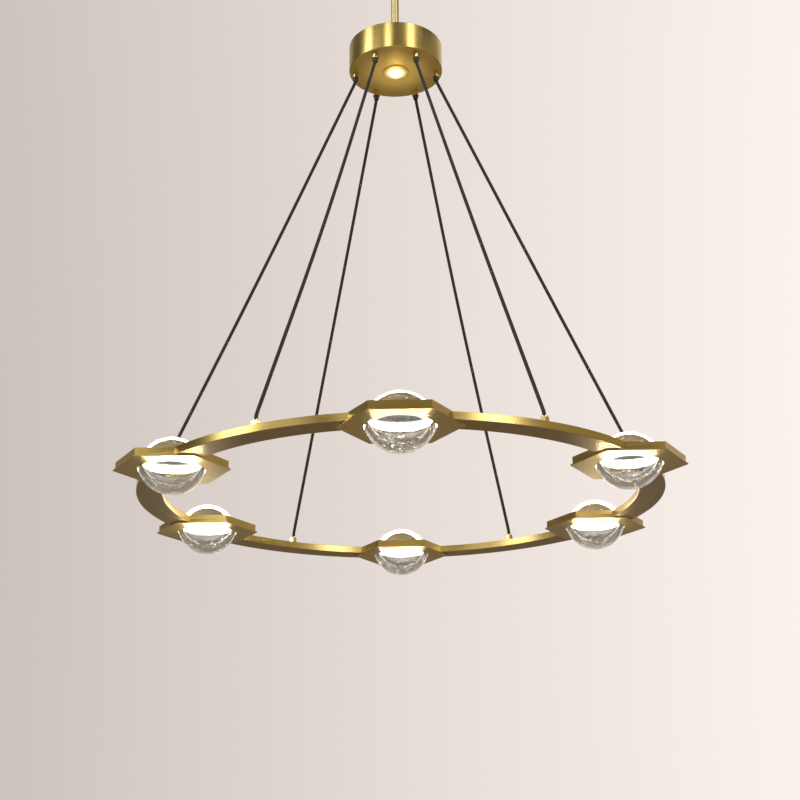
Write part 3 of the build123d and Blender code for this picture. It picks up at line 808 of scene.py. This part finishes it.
def make_camera():
    """Camera at the photograph's viewing angle, below the ring and looking up."""
    cos_yaw, sin_yaw = math.cos(CAMERA_YAW), math.sin(CAMERA_YAW)
    cos_pitch, sin_pitch = math.cos(CAMERA_PITCH), math.sin(CAMERA_PITCH)
    forward = Vector((sin_yaw * cos_pitch, cos_yaw * cos_pitch, sin_pitch))
    level = Vector((cos_yaw, -sin_yaw, 0))
    rise = level.cross(forward)
    right = level * math.cos(CAMERA_ROLL) + rise * math.sin(CAMERA_ROLL)
    up = rise * math.cos(CAMERA_ROLL) - level * math.sin(CAMERA_ROLL)
    turn = Matrix((right, up, -forward)).transposed()
    data = bpy.data.cameras.new("view_from_below")
    data.sensor_width = CAMERA_SENSOR
    data.lens = CAMERA_LENS
    camera = bpy.data.objects.new("view_from_below", data)
    camera.matrix_world = Matrix.Translation(CAMERA_PLACE) @ turn.to_4x4()
    bpy.context.scene.collection.objects.link(camera)
    bpy.context.scene.camera = camera


def make_room():
    """Soft surroundings: a pale wall, paler to the right, dim behind and overhead, floor-toned at its foot."""
    world = bpy.data.worlds.new("pale_room")
    world.use_nodes = True
    bpy.context.scene.world = world
    tree = world.node_tree
    x, y, z = split(tree, tree.nodes.new("ShaderNodeTexCoord").outputs["Generated"])
    wall = blend_colour(tree, ramp(tree, x, -AHEAD_REACH, AHEAD_REACH, 0.0, 1.0), *AHEAD_COLOURS)
    ahead = calc(tree, "DIVIDE", y, vector(tree, "LENGTH", joined(tree, x, y, 0.0)))
    behind = ramp(tree, ahead, *BEHIND_RANGE, 0.0, 1.0, smooth=True)
    back = blend_colour(tree, ramp(tree, x, -BEHIND_REACH, BEHIND_REACH, 0.0, 1.0), *BEHIND_COLOURS)
    wall = blend_colour(tree, behind, wall, back)
    foot = ramp(tree, z, *FOOT_RANGE, 0.0, 1.0, smooth=True)
    wall = blend_colour(tree, foot, wall, FOOT_COLOUR)
    overhead = ramp(tree, z, *OVERHEAD_RANGE, 0.0, 1.0, smooth=True)
    wall = blend_colour(tree, overhead, wall, OVERHEAD_COLOUR)
    tree.links.new(wall, tree.nodes["Background"].inputs["Color"])


def make_floor():
    """Plain pale floor under the chandelier."""
    material, tree, shader = new_material("pale_floor", Roughness=0.8)
    grain = grain_noise(tree, object_place(tree), 6.0)
    tree.links.new(blend_colour(tree, grain, *FLOOR_TONES), shader.inputs["Base Color"])
    solid = bmesh.new()
    bmesh.ops.create_grid(solid, x_segments=1, y_segments=1, size=FLOOR_HALF_SIZE)
    solid.transform(Matrix.Translation((0, 0, FLOOR_HEIGHT)))
    mesh = bpy.data.meshes.new("floor")
    solid.to_mesh(mesh)
    solid.free()
    new_piece("floor", mesh, material)


def soft_box(name, bearing, distance, height, width, length, power, colour):
    """Upright soft light that faces the chandelier's axis, at a bearing from the -Y side."""
    data = bpy.data.lights.new(name, "AREA")
    data.shape = "RECTANGLE"
    data.size = width
    data.size_y = length
    data.energy = power
    data.color = colour
    light = bpy.data.objects.new(name, data)
    angle = math.radians(bearing)
    place = Vector((distance * math.sin(angle), -distance * math.cos(angle), height))
    aim = Vector((0, 0, height)) - place
    light.matrix_world = Matrix.Translation(place) @ aim.to_track_quat("-Z", "Y").to_matrix().to_4x4()
    bpy.context.scene.collection.objects.link(light)


def make_lights():
    """Tall soft boxes for the bands of light on the brass."""
    for name, settings in SOFT_BOXES.items():
        soft_box(name, *settings)


def glow_light(name, place, radius, power, colour):
    """Small round light that brightens what is near it and isn't seen itself."""
    data = bpy.data.lights.new(name, "POINT")
    data.energy = power
    data.color = colour
    data.shadow_soft_size = radius
    data.cycles.use_multiple_importance_sampling = False
    light = bpy.data.objects.new(name, data)
    light.location = place
    light.visible_camera = False
    light.visible_transmission = False
    bpy.context.scene.collection.objects.link(light)


def make_glow():
    """Warm light that the crystals and the spotlight send out."""
    for index in range(LAMP_COUNT):
        below = lamp_matrix(index) @ Vector((0, 0, PLATE_FLOOR - LAMP_GLOW_DROP))
        glow_light(f"glow_{index + 1}", below, LAMP_GLOW_RADIUS, LAMP_GLOW_POWER, LAMP_GLOW_COLOUR)
    spot_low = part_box("spot_lens")[0].z
    glow_light("glow_spot", (0, 0, spot_low - SPOT_GLOW_DROP), SPOT_GLOW_RADIUS, SPOT_GLOW_POWER,
               SPOT_GLOW_COLOUR)


round_brass = brass("brushed_brass_round", round_grain, BRASS_TONES, *BRUSHED)
# painted shade on the downward faces of the bars, and below on the plates and bands
bar_brass = brass("brushed_brass_bars", round_grain, BRASS_TONES, *BRUSHED, BAR_PAINTED_SHADE)
turned_brass = brass("turned_brass", round_grain, TURNED_TONES, *TURNED)
head_brass = [
    brass(f"brushed_brass_head_{heads}", straight_grain(turn * LAMP_STEP), BRASS_TONES, *BRUSHED,
          PLATE_PAINTED_SHADE)
    for turn, heads in enumerate(("1_4", "2_5", "3_6"))
]
stem_brass = brass("stem_brass", round_grain, STEM_TONES, *DRAWN)
# painted glow: the hub's base and the bezel emit light round the spotlight
satin_brass = paint_spot_glow(brass("satin_brass", round_grain, SATIN_TONES, *SATIN), *BASE_PAINTED_GLOW)
bezel_brass = paint_spot_glow(speckled("bezel_painted_glow", BEZEL_TONES, 0.45, 800.0, Metallic=0.45), *BEZEL_PAINTED_GLOW)

finish_nodes(stem_brass, ["stem"])
finish_nodes(bezel_brass, ["spot_bezel"])
finish_nodes(turned_brass, [
    "swivel_upper_yoke", "swivel_lower_yoke", "swivel_cross", "swivel_pins", "canopy_nipple", "stem_nut",
    "hub_screws", "hub_cord_grips", "hub_grip_nuts", "ring_cord_grips", "ring_grip_nuts", "plate_screws",
])
finish_nodes(speckled("zinc_plate", ZINC_TONES, 0.35, 300.0, Metallic=1.0), ["ceiling_bracket"])
finish_nodes(speckled("bare_aluminium", ALUMINIUM_TONES, 0.4, 400.0, Metallic=1.0), ["spot_heatsink"])
finish_nodes(speckled("moulded_case", CASE_TONES, 0.5, 700.0), ["led_driver"])
finish_nodes(speckled("moulded_collar", COLLAR_TONES, 0.45, 900.0), ["cord_collars"])
finish_nodes(lit_diffuser("light_ring_diffuser", RING_STRENGTH), ["led_rings", "spot_led"])
finish_nodes(spot_lens_glow(), ["spot_lens"])

eased_copy("canopy", round_brass, "ceiling")
eased_copy("hub_shell", round_brass, "hub")
eased_copy("hub_base", satin_brass, "hub")
for index in range(LAMP_COUNT):
    eased_copy(f"arc_bar_{index + 1}", bar_brass, "ring")
    eased_copy(f"hex_plate_{index + 1}", head_brass[index % 3], "ring")
    eased_copy(f"hex_frame_{index + 1}", head_brass[index % 3], "ring")

make_camera()
make_cables(braided_fabric())
# the lower domes' rims get a painted glow
make_crystals(crystal_glass(), lit_diffuser("painted_rim_glow", RIM_GLOW_STRENGTH))
# painted glow lips at the feet of the upper domes
make_light_lips(lit_diffuser("painted_lip_glow", LIP_GLOW_STRENGTH))
make_room()
make_floor()
make_lights()
make_glow()

bpy.context.scene.view_settings.view_transform = "Standard"
